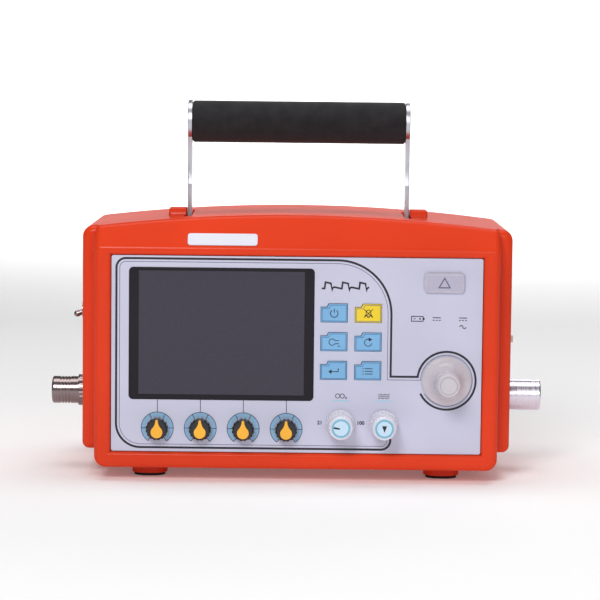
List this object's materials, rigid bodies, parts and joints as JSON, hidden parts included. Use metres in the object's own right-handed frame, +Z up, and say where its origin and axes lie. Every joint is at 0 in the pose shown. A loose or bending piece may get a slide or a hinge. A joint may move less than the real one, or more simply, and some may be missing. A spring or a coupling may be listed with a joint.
{
  "type": "mechanical ventilator",
  "caption": "Portable ventilator in an arched moulded case with a folding carry handle, display, key pad, setting dials, push encoder and side gas ports.",
  "frame": {"origin": "on the surface the machine stands on, below the middle of the whole machine", "axes": "+X to the right seen from the panel, +Y to the back, +Z up"},
  "size_m": [0.353, 0.1836, 0.2648],
  "materials": {
    "orange_shell": "smooth glossy moulding",
    "panel_film": "satin printed film",
    "window": "clear pane with a printed black border",
    "key_blue": "satin",
    "key_yellow": "satin",
    "lamp_lens": "frosted lens",
    "name_plate": "blank plate",
    "dial_black": "semi-gloss",
    "pointer_yellow": "semi-gloss",
    "knob_white": "white moulding",
    "cap_blue": "printed cap",
    "encoder_white": "translucent white moulding",
    "grip_foam": "closed-cell foam",
    "bare_aluminium": "satin",
    "plated_steel": "bright plated",
    "bracket_orange": "moulded with the cover",
    "nozzle": "pale",
    "black_rubber": "matt",
    "black_plastic": "fine texture",
    "module": "stamped frame",
    "board_green": "circuit board",
    "brass_valve": "turned",
    "hose_clear": "silicone"
  },
  "bodies": {
    "case": {"front_bezel": "orange_shell", "upper_cover": "orange_shell", "base_tray": "orange_shell", "rear_panel": "orange_shell", "battery_door": "orange_shell", "feet": "orange_shell", "front_plate": "panel_film", "display_window": "window", "alarm_lens": "lamp_lens", "name_plate": "name_plate", "gas_manifold": "bare_aluminium", "patient_outlet": "bare_aluminium", "pressure_regulator": "bare_aluminium", "oxygen_inlet": "plated_steel", "inlet_lock_ring": "plated_steel", "power_switch": "plated_steel", "case_screws": "plated_steel", "handle_brackets": "bracket_orange", "pressure_port": "nozzle", "foot_pads": "black_rubber", "outlet_seal": "black_rubber", "dc_socket": "black_plastic", "filter_cover": "black_plastic", "battery_pack": "black_plastic", "speaker": "black_plastic", "solenoid_valve": "black_plastic", "display_module": "module", "dial_potentiometers": "module", "encoder_body": "module", "main_board": "board_green", "key_board": "board_green", "mixer_valve": "brass_valve", "flow_valve": "brass_valve", "gas_hoses": "hose_clear"},
    "key_standby": {"key_standby": "key_blue"},
    "key_manual": {"key_manual": "key_blue"},
    "key_return": {"key_return": "key_blue"},
    "key_silence": {"key_silence": "key_yellow"},
    "key_reset": {"key_reset": "key_blue"},
    "key_menu": {"key_menu": "key_blue"},
    "dial_1": {"dial_knob_1": "dial_black", "dial_pointer_1": "pointer_yellow"},
    "dial_2": {"dial_knob_2": "dial_black", "dial_pointer_2": "pointer_yellow"},
    "dial_3": {"dial_knob_3": "dial_black", "dial_pointer_3": "pointer_yellow"},
    "dial_4": {"dial_knob_4": "dial_black", "dial_pointer_4": "pointer_yellow"},
    "oxygen_control": {"oxygen_knob": "knob_white", "oxygen_knob_cap": "cap_blue"},
    "flow_control": {"flow_knob": "knob_white", "flow_knob_cap": "cap_blue"},
    "encoder_sleeve": {"encoder_rotor": "bare_aluminium"},
    "encoder_button": {"encoder_knob": "encoder_white", "encoder_cap": "encoder_white"},
    "toggle": {"toggle_lever": "plated_steel"},
    "handle": {"handle_arms": "bare_aluminium", "handle_grip": "grip_foam", "handle_tube": "bare_aluminium", "handle_screws": "plated_steel"}
  },
  "joints": [
    {"name": "key_standby_press", "type": "slide", "parent": "case", "child": "key_standby", "axis": [0, 1, 0], "range_m": [0, 0.0005], "stiffness_N_per_m": 3000},
    {"name": "key_manual_press", "type": "slide", "parent": "case", "child": "key_manual", "axis": [0, 1, 0], "range_m": [0, 0.0005], "stiffness_N_per_m": 3000},
    {"name": "key_return_press", "type": "slide", "parent": "case", "child": "key_return", "axis": [0, 1, 0], "range_m": [0, 0.0005], "stiffness_N_per_m": 3000},
    {"name": "key_silence_press", "type": "slide", "parent": "case", "child": "key_silence", "axis": [0, 1, 0], "range_m": [0, 0.0005], "stiffness_N_per_m": 3000},
    {"name": "key_reset_press", "type": "slide", "parent": "case", "child": "key_reset", "axis": [0, 1, 0], "range_m": [0, 0.0005], "stiffness_N_per_m": 3000},
    {"name": "key_menu_press", "type": "slide", "parent": "case", "child": "key_menu", "axis": [0, 1, 0], "range_m": [0, 0.0005], "stiffness_N_per_m": 3000},
    {"name": "dial_1_turn", "type": "hinge", "parent": "case", "child": "dial_1", "pos_m": [-0.0967, -0.06175, 0.0372], "axis": [0, 1, 0], "range_deg": [-140, 140]},
    {"name": "dial_2_turn", "type": "hinge", "parent": "case", "child": "dial_2", "pos_m": [-0.0667, -0.06175, 0.0372], "axis": [0, 1, 0], "range_deg": [-140, 140]},
    {"name": "dial_3_turn", "type": "hinge", "parent": "case", "child": "dial_3", "pos_m": [-0.0367, -0.06175, 0.0372], "axis": [0, 1, 0], "range_deg": [-140, 140]},
    {"name": "dial_4_turn", "type": "hinge", "parent": "case", "child": "dial_4", "pos_m": [-0.0067, -0.06175, 0.0372], "axis": [0, 1, 0], "range_deg": [-140, 140]},
    {"name": "oxygen_knob_turn", "type": "hinge", "parent": "case", "child": "oxygen_control", "pos_m": [0.0312, -0.06175, 0.0415], "axis": [0, 1, 0], "range_deg": [0, 180]},
    {"name": "flow_knob_turn", "type": "hinge", "parent": "case", "child": "flow_control", "pos_m": [0.0612, -0.06175, 0.0415], "axis": [0, 1, 0], "range_deg": [-135, 135]},
    {"name": "encoder_turn", "type": "hinge", "parent": "case", "child": "encoder_sleeve", "pos_m": [0.1047, -0.06175, 0.0725], "axis": [0, 1, 0], "continuous": true},
    {"name": "encoder_press", "type": "slide", "parent": "encoder_sleeve", "child": "encoder_button", "axis": [0, 1, 0], "range_m": [0, 0.0008], "stiffness_N_per_m": 3000},
    {"name": "toggle_flip", "type": "hinge", "parent": "case", "child": "toggle", "pos_m": [-0.1505, 0.00575, 0.113], "axis": [0, 1, 0], "range_deg": [0, 40]},
    {"name": "handle_fold", "type": "hinge", "parent": "case", "child": "handle", "pos_m": [0, 0.01075, 0.181], "axis": [1, 0, 0], "range_deg": [-72, 72]}
  ]
}
